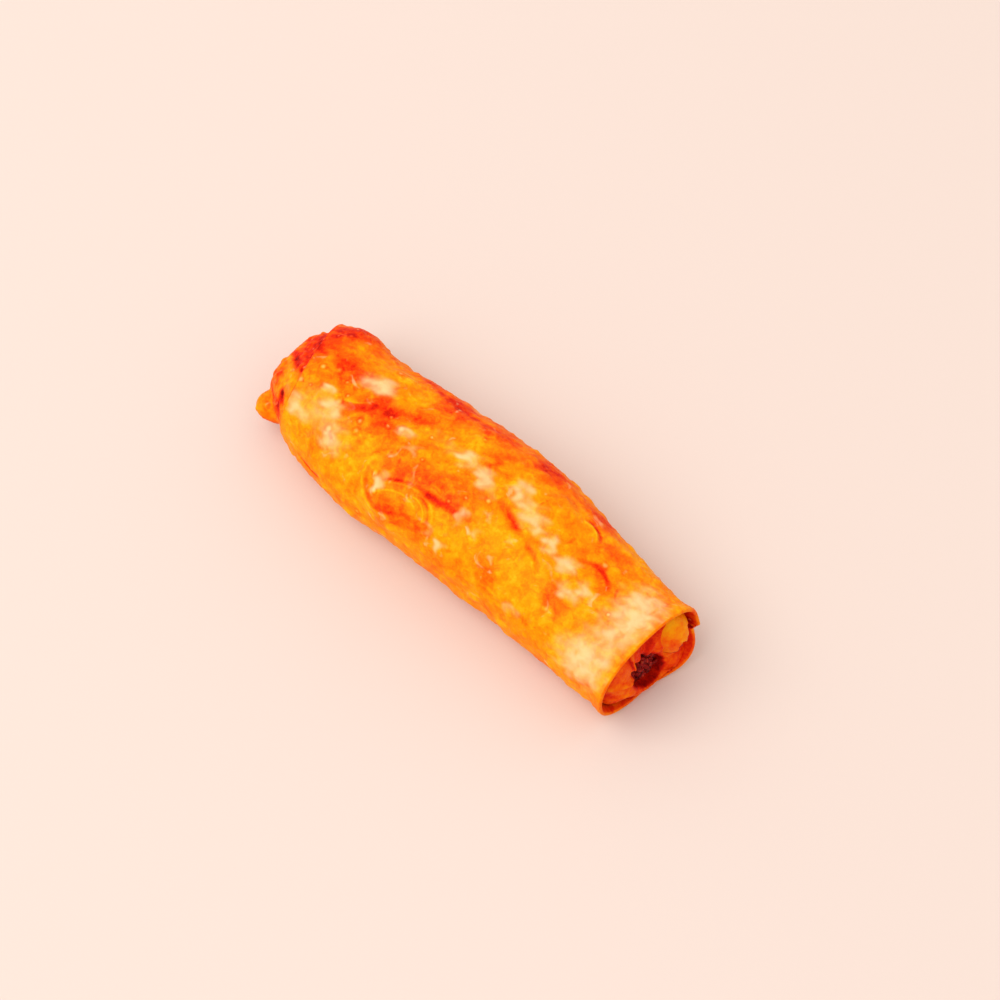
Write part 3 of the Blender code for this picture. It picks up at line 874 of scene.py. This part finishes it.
tuck_share = np.concatenate((np.linspace(-1, 0, 16, endpoint=False), np.linspace(0, 1, 90) ** 0.8))
tuck_share = tuck_share[:, None]
tuck_angle = np.linspace(0, math.tau, 240, endpoint=False)[None, :]
tuck_x, tuck_radius, tuck_tone = tuck_point(tuck_share, tuck_angle)
tuck_x, tuck_radius, tuck_turn = np.broadcast_arrays(tuck_x, tuck_radius, tuck_angle)
floor = TUCK_FLOOR + TUCK_FLOOR_RISE * np.clip(tuck_share, 0, 1) ** 3
dome = around(tuck_x, tuck_turn, tuck_radius, floor)
tuck_brown, tuck_pale = patch_browning_and_light(tuck_x, tuck_turn, TUCK_PATCHES)
tuck_tone = tuck_tone + tuck_brown + TIP_TONE * np.clip(tuck_share, 0, 1) ** 2
# The knob is the corner of the fold: the dome runs on into a ball end.
rim_y, rim_z = spine(RIM_LEFT)
knob_root = np.array((RIM_LEFT, rim_y, rim_z)) + KNOB_ROOT
knob_run = np.array(KNOB_RUN) / np.linalg.norm(KNOB_RUN)
from_root = dome - knob_root
along_knob = from_root @ knob_run
beside_knob = np.linalg.norm(from_root - along_knob[..., None] * knob_run, axis=-1)
ball = KNOB_OUT + np.sqrt(np.maximum(KNOB_RADIUS**2 - beside_knob**2, 0))
ball = ball - KNOB_FALL * np.maximum(beside_knob - KNOB_RADIUS, 0)
blend = np.clip(0.5 + 0.5 * (ball - along_knob) / KNOB_BLEND, 0, 1)
pushed = blend * (ball - along_knob) + KNOB_BLEND * blend * (1 - blend)
pushed = pushed * smooth(-0.001, 0.002, along_knob) * smooth(0.0, 0.3, tuck_share)
dome = dome + pushed[..., None] * knob_run
knob = np.clip(pushed / KNOB_RADIUS, 0, 1)
# Painted shade darkens the knob's underside.
knob_shade = KNOB_SHADE_TONE * smooth(*KNOB_SHADE_HEIGHTS, dome[..., 2])
tuck_tone = tuck_tone * (1 - 0.6 * knob) + knob * knob_shade
tucked_end = grid_piece(
    "tucked_end",
    dome[:, ::-1],
    {
        "tone": tuck_tone[:, ::-1],
        "pale": tuck_pale[:, ::-1],
        "beady": 0.35,
        "flecked": FLECKED,
        "rise": smooth(*TUCK_RESTING, dome[:, ::-1, 2]),
    },
    pole=True,
)
make_real(
    tucked_end,
    blister_tree,
    {"Pastry": folded_pastry, "Seed": 11, "Blister Spacing": 0.0030, "Blister Reach": 0.0014},
)
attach(tucked_end, "root")
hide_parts("wrapper")

# ----------------------------
# The mouth folds are the sheet's other side, folded in too but short of closing: a soft ring round
# a hole, sunk a little inside the outer turn. Steam and fat left them moist and a little shiny, and
# they are painted orange-red as shade inside the mouth, darker still in the pockets, along the
# creases and where they turn down into the hole.
# ----------------------------
MOUTH_Y, MOUTH_Z = 0.0002, -0.0045
MOUTH_HALF_WIDTH = 0.0052
MOUTH_HALF_HEIGHT = 0.0067
MOUTH_LEAN = 0.22  # the hole leans this share of its height to the near side at its top
MOUTH_TILT = 1.0  # mm by which its lower edge stands out and its upper edge stands back
PRESSED_DOWN = 0.8  # low down the folds lie against the wall, by this share
MOUTH_INSET = 0.0016  # from the skin to the folded sheet
MOUTH_FLOOR = 0.0012
LIP_FOLLOWED = 0.85  # the share of the low lip that the folds follow
# The folds are painted darker than the outer skin as shade inside the mouth, and darker still at the
# hole's edge, where they turn down into the hole.
MOUTH_SHADE_TONE = 0.78
HOLE_SHADE_TONE = 1.1  # added at the hole's edge
HOLE_EDGE = 0.08  # how wide that edge is, as a share of the way to the wall
# From the hole's edge (0) to the wall (1): depth in mm from the rim
MOUTH_PROFILE = (
    (-0.14, -10.0),
    (-0.09, -4.0),
    (-0.03, -1.0),
    (0.02, 0.0),
    (0.16, 0.7),
    (0.35, 0.6),
    (0.55, 0.1),
    (0.74, -0.8),
    (0.90, -2.4),
    (1.02, -5.0),
)
# Pockets between the folds: degrees round, share, reach in degrees and in share, depth in mm, tone
# of the painted shade in them
POCKETS = (
    (66, 0.60, 15, 0.45, 2.6, 0.90),
    (352, 0.72, 20, 0.30, 2.0, 0.50),
    (110, 0.75, 24, 0.25, 1.0, 0.10),
    (84, 0.38, 14, 0.36, 1.4, 0.20),
)
NO_BEADS = -0.1
# Creases where the fold was gathered: degrees round at the hole and at the wall, depth in mm
FOLD_LINES = ((128, 112, 0.9), (163, 176, 1.0), (202, 193, 0.8))

mouth_y0, mouth_z0 = spine(RIM_RIGHT)
mouth_share = np.linspace(-0.14, 1.02, 110)[:, None]
mouth_angle = np.linspace(0, math.tau, 300, endpoint=False)[None, :]
stations = np.array(MOUTH_PROFILE)
depth_mm = np.interp(mouth_share, stations[:, 0], stations[:, 1])
for _ in range(6):
    depth_mm[1:-1] = (depth_mm[:-2] + depth_mm[1:-1] + depth_mm[2:]) / 3
low_down = smooth(0.1, -0.7, np.sin(mouth_angle))
uneven = 0.10 * np.cos(3 * mouth_angle + 0.5) + 0.06 * np.cos(7 * mouth_angle + 2)
uneven = 1 + uneven * (1 - 0.8 * low_down)
crinkle = 0.30 * np.cos(11 * mouth_angle + 3 * mouth_share) + 0.20 * np.cos(17 * mouth_angle + 1.2)
crinkle = crinkle * (1 - 0.9 * low_down)
depth_mm = depth_mm + crinkle * np.exp(-(((mouth_share - 0.15) / 0.25) ** 2))
pressed = depth_mm * (1 - PRESSED_DOWN * low_down * (mouth_share > 0.5))
depth_mm = np.where(depth_mm < 0, pressed, depth_mm)
depth_mm = depth_mm + 1000 * low_lip(mouth_angle) * LIP_FOLLOWED * smooth(0.1, 0.7, mouth_share)
depth_mm = depth_mm - MOUTH_TILT * np.sin(mouth_angle) * (1 - smooth(0.2, 0.9, mouth_share))
mouth_tone = MOUTH_SHADE_TONE + HOLE_SHADE_TONE * np.exp(-(((mouth_share + 0.02) / HOLE_EDGE) ** 2))
for degrees, share, reach, reach_share, deep, pocket_shade in POCKETS:
    turned = wrapped(np.degrees(mouth_angle) - degrees, 360)
    pocket = np.exp(-((turned / reach) ** 2) - ((mouth_share - share) / reach_share) ** 2)
    depth_mm = depth_mm - deep * pocket
    mouth_tone = mouth_tone + pocket_shade * pocket
for at_hole, at_wall, deep in FOLD_LINES:
    crease = at_hole + (at_wall - at_hole) * mouth_share
    turned = wrapped(np.degrees(mouth_angle) - crease, 360)
    there = smooth(0.05, 0.30, mouth_share) * smooth(1.02, 0.85, mouth_share)
    step = (smooth(-9, 0, turned) - smooth(0, 2.5, turned)) * there
    depth_mm = depth_mm + deep * step
    # Painted shade darkens the foot of each crease, and painted highlight leaves the raised fold
    # beside it paler.
    mouth_tone = mouth_tone + (0.75 * np.exp(-(((turned - 2.0) / 2.4) ** 2)) - 0.30 * step) * there
inset = MOUTH_INSET + PITCH * ((mouth_angle - FLAP_TIP) % math.tau) / math.tau
wall = skin_radius(RIM_RIGHT, mouth_angle) - inset
hole_y = MOUTH_Y + MOUTH_HALF_WIDTH * uneven * np.cos(mouth_angle)
hole_y = hole_y - MOUTH_LEAN * MOUTH_HALF_HEIGHT * np.sin(mouth_angle)
hole_z = MOUTH_Z + MOUTH_HALF_HEIGHT * uneven * np.sin(mouth_angle)
mouth_y = mouth_y0 + hole_y + (wall * np.cos(mouth_angle) - hole_y) * mouth_share
mouth_z = mouth_z0 + hole_z + (wall * np.sin(mouth_angle) - hole_z) * mouth_share
mouth = (RIM_RIGHT + 0.001 * depth_mm, mouth_y, np.maximum(MOUTH_FLOOR, mouth_z))
mouth = np.stack(np.broadcast_arrays(*mouth), axis=-1)
mouth_folds = grid_piece(
    "mouth_folds",
    mouth[:, ::-1],
    {"tone": mouth_tone[:, ::-1], "beady": NO_BEADS, "rise": 0.6},
)
make_real(
    mouth_folds,
    blister_tree,
    {"Pastry": moist_pastry, "Seed": 21, "Blister Spacing": 0.0040, "Blister Reach": 0.0012},
)
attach(mouth_folds, "root")
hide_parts("wrapper")

# ----------------------------
# The inner fold is the end of the inner turn, pushed out beside the hole as one rounded bulge. Its
# cut edge is ragged and browned, and the layer under it shows below. That layer and the fold's near
# side are painted darker as shade.
# ----------------------------
TONGUE_Y, TONGUE_Z = 0.0104, 0.0010
TONGUE_HALF_WIDTH = 0.0062
TONGUE_HALF_HEIGHT = 0.0086
TONGUE_LEAN = math.radians(-12)
TONGUE_ROOT = 0.0090
TONGUE_REACH = 0.0027
TONGUE_TILT = 0.24  # its lower end stands out further, by this share of its height
TONGUE_SQUARENESS = 4.0
EDGE_Z = -0.0006  # the ragged edge's height from the spine
EDGE_SLOPE = 0.35  # it climbs towards the far side
EDGE_STEP = 0.0015  # the layer under it stands back by this
EDGE_BAND = 0.0003  # half the browned band along the edge
# Waves that make it ragged: height in metres, radians for each metre, and start
EDGE_WAVES = ((0.0007, 1400, 2), (0.0004, 3700, 0))
TONGUE_TONE = -0.12
EDGE_TONE = 2.2
# Painted shade: the layer under the ragged edge and the fold's near side are darker.
UNDER_EDGE_SHADE = 0.30
NEAR_SIDE_SHADE = 0.5

tongue_share = (np.linspace(0, 1, 100) ** 0.7)[:, None]
tongue_angle = np.linspace(0, math.tau, 220, endpoint=False)[None, :]
swell = (1 - tongue_share**TONGUE_SQUARENESS) ** 0.5
from_side = TONGUE_HALF_WIDTH * swell * np.cos(tongue_angle)
ragged = sum(high * np.sin(often * from_side + start) for high, often, start in EDGE_WAVES)
ragged = ragged + EDGE_SLOPE * from_side
height_above = TONGUE_HALF_HEIGHT * swell * np.sin(tongue_angle) + TONGUE_Z - EDGE_Z - ragged
under = 1 - smooth(-0.0005, 0.0001, height_above)
across = (TONGUE_HALF_WIDTH - EDGE_STEP * under) * swell * np.cos(tongue_angle)
up = (TONGUE_HALF_HEIGHT - 0.3 * EDGE_STEP * under) * swell * np.sin(tongue_angle)
tongue_x = RIM_RIGHT - TONGUE_ROOT + (TONGUE_ROOT + TONGUE_REACH) * tongue_share
tongue_x = tongue_x - (EDGE_STEP * under + TONGUE_TILT * up) * tongue_share**2
tongue_y = mouth_y0 + TONGUE_Y + across * math.cos(TONGUE_LEAN) + up * math.sin(TONGUE_LEAN)
tongue_z = mouth_z0 + TONGUE_Z + up * math.cos(TONGUE_LEAN) - across * math.sin(TONGUE_LEAN)
edge = np.exp(-(((height_above - 0.0002) / EDGE_BAND) ** 2))
edge = edge * smooth(0.55, 0.75, tongue_share)
near_side = smooth(-0.1, -1.0, np.cos(tongue_angle))
inner_fold = grid_piece(
    "inner_fold",
    np.stack(np.broadcast_arrays(tongue_x, tongue_y, tongue_z), axis=-1),
    {
        "tone": TONGUE_TONE + EDGE_TONE * edge + UNDER_EDGE_SHADE * under + NEAR_SIDE_SHADE * near_side,
        "beady": NO_BEADS,
        "rise": 0.5,
    },
    pole=True,
)
make_real(
    inner_fold,
    blister_tree,
    {"Pastry": moist_pastry, "Seed": 8, "Blister Spacing": 0.0060, "Blister Reach": 0.0012},
)
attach(inner_fold, "root")
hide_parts("wrapper")

# ----------------------------
# The filling runs through the roll and shows in the hole: finely chopped and cooked down dark, in
# lumps of a millimetre or two that shine with fat.
# ----------------------------
FILLING_NECK = (-0.0215, -0.0095)  # from the rim: it narrows from the roll's width to the hole's
FILLING_TIP = -0.0010
FILLING_TIP_ROUND = 0.003
FILLING_BACK = 0.0006
FILLING_BACK_ROUND = 0.006
FILLING_DEPTH = TURNS * PITCH + SHEET + 0.0003
UNDER_FOLDS = 0.0002  # it runs on under the edge of the folds by this
CORE_STEPS = 120
CORE_ROUND = 72


def rounded_off(run, reach):
    """0 at an end, rising round to 1 at this reach from it."""
    return np.sqrt(np.clip(1 - np.clip((reach - run) / reach, 0, 1) ** 2, 0, 1))


core_share = np.linspace(0, 1, CORE_STEPS)[:, None]
core_angle = np.linspace(0, math.tau, CORE_ROUND, endpoint=False)[None, :]
core_start = RIM_LEFT + TUCK_ROOT + FILLING_BACK
core_tip = RIM_RIGHT + FILLING_TIP
core_x = core_start + (core_tip - core_start) * core_share**0.9
narrow = smooth(RIM_RIGHT + FILLING_NECK[0], RIM_RIGHT + FILLING_NECK[1], core_x)
wide = skin_radius(core_x, core_angle) - FILLING_DEPTH
hole_y = MOUTH_Y + (MOUTH_HALF_WIDTH + UNDER_FOLDS) * np.cos(core_angle)
hole_y = hole_y - MOUTH_LEAN * MOUTH_HALF_HEIGHT * np.sin(core_angle)
hole_z = MOUTH_Z + (MOUTH_HALF_HEIGHT + UNDER_FOLDS) * np.sin(core_angle)
core_y = (1 - narrow) * wide * np.cos(core_angle) + narrow * hole_y
core_z = (1 - narrow) * wide * np.sin(core_angle) + narrow * hole_z
spine_y, spine_z = spine(core_x)
middle_y = narrow * MOUTH_Y
middle_z = narrow * MOUTH_Z
ends = rounded_off(core_x - core_start, FILLING_BACK_ROUND)
ends = ends * rounded_off(core_tip - core_x, FILLING_TIP_ROUND)
core_y = spine_y + middle_y + (core_y - middle_y) * ends
core_z = spine_z + middle_z + (core_z - middle_z) * ends
core = np.stack(np.broadcast_arrays(core_x, core_y, core_z), axis=-1)
core_shown = smooth(core_tip - 0.006, core_tip - 0.001, core_x)
filling = grid_piece("filling_in_the_hole", core, {"shown": core_shown}, pole=True)


def cooked_filling():
    """Chopped, cooked filling: dark red-brown, moist, with paler bits and a fatty shine."""
    material, tree = new_material("cooked chopped filling")
    place = add(tree, "ShaderNodeTexCoord").outputs["Object"]
    inputs = {"Vector": place, "Scale": 1000 / 1.5, "Detail": 4.0, "Distortion": 1.2}
    bits = add(tree, "ShaderNodeTexNoise", inputs)
    shade = add(tree, "ShaderNodeMapRange", {"Value": bits, "From Min": 0.30, "From Max": 0.70})
    ramp = add(tree, "ShaderNodeValToRGB", {"Fac": shade})
    stops = (
        (0.00, "4A0302"),
        (0.35, "6E0604"),
        (0.60, "8A0C08"),
        (0.80, "A8180E"),
        (0.92, "C04A2A"),
        (1.00, "9A4418"),
    )
    set_stops(ramp, stops)
    grain = add(tree, "ShaderNodeTexNoise", {"Vector": place, "Scale": 1000 / 0.6, "Detail": 3.0})
    bump = add(tree, "ShaderNodeBump", {"Strength": 0.6, "Distance": 0.0003, "Height": grain})
    inputs = {"Base Color": ramp, "Roughness": 0.42, "Specular IOR Level": 0.08, "Normal": bump}
    shader = add(tree, "ShaderNodeBsdfPrincipled", inputs)
    add(tree, "ShaderNodeOutputMaterial", {"Surface": shader})
    return material


def mincing():
    """A tree that covers the part of the core that shows with small uneven lumps."""
    tree = new_tree("mincing", {"Lump Size": 0.0010, "Lump Spacing": 0.0013}, "Filling")
    given = add(tree, "NodeGroupInput").outputs
    shown = add(tree, "GeometryNodeInputNamedAttribute", {"Name": "shown"}, data_type="FLOAT")
    inputs = {
        "Mesh": given["Geometry"],
        "Distance Min": given["Lump Spacing"],
        "Density Max": 3.0e6,
        "Density Factor": shown,
        "Seed": given["Seed"],
    }
    kind = "GeometryNodeDistributePointsOnFaces"
    spots = add(tree, kind, inputs, distribute_method="POISSON")
    lump = add(tree, "GeometryNodeMeshIcoSphere", {"Radius": 1.0, "Subdivisions": 3})
    where = add(tree, "GeometryNodeInputPosition")
    cloud = add(tree, "ShaderNodeTexNoise", {"Vector": where, "Scale": 1.6, "Detail": 1.0})
    push = add(tree, "ShaderNodeMath", {0: cloud, 1: 0.9, 2: 0.55}, operation="MULTIPLY_ADD")
    dented = add(tree, "ShaderNodeVectorMath", {0: where, "Scale": push}, operation="SCALE")
    uneven_lump = add(tree, "GeometryNodeSetPosition", {"Geometry": lump, "Position": dented})
    inputs = {"Min": (0, 0, 0), "Max": (6.28, 6.28, 6.28), "Seed": given["Seed"]}
    turn = add(tree, "FunctionNodeRandomValue", inputs, data_type="FLOAT_VECTOR")
    inputs = {"Min": (0.5, 0.5, 0.6), "Max": (1.0, 1.1, 1.7), "Seed": given["Seed"]}
    stretch = add(tree, "FunctionNodeRandomValue", inputs, data_type="FLOAT_VECTOR")
    inputs = {0: stretch, "Scale": given["Lump Size"]}
    sized = add(tree, "ShaderNodeVectorMath", inputs, operation="SCALE")
    inputs = {"Points": spots, "Instance": uneven_lump, "Rotation": turn, "Scale": sized}
    placed = add(tree, "GeometryNodeInstanceOnPoints", inputs)
    joined = add(tree, "GeometryNodeJoinGeometry")
    tree.links.new(placed.outputs[0], joined.inputs[0])
    tree.links.new(given["Geometry"], joined.inputs[0])
    real = add(tree, "GeometryNodeRealizeInstances", {"Geometry": joined})
    rounded = add(tree, "GeometryNodeSetShadeSmooth", {"Geometry": real})
    inputs = {"Geometry": rounded, "Material": given["Filling"]}
    clad = add(tree, "GeometryNodeSetMaterial", inputs)
    add(tree, "NodeGroupOutput", {0: clad})
    return tree


make_real(filling, mincing(), {"Filling": cooked_filling(), "Seed": 2})
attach(filling, "root")
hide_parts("filling")
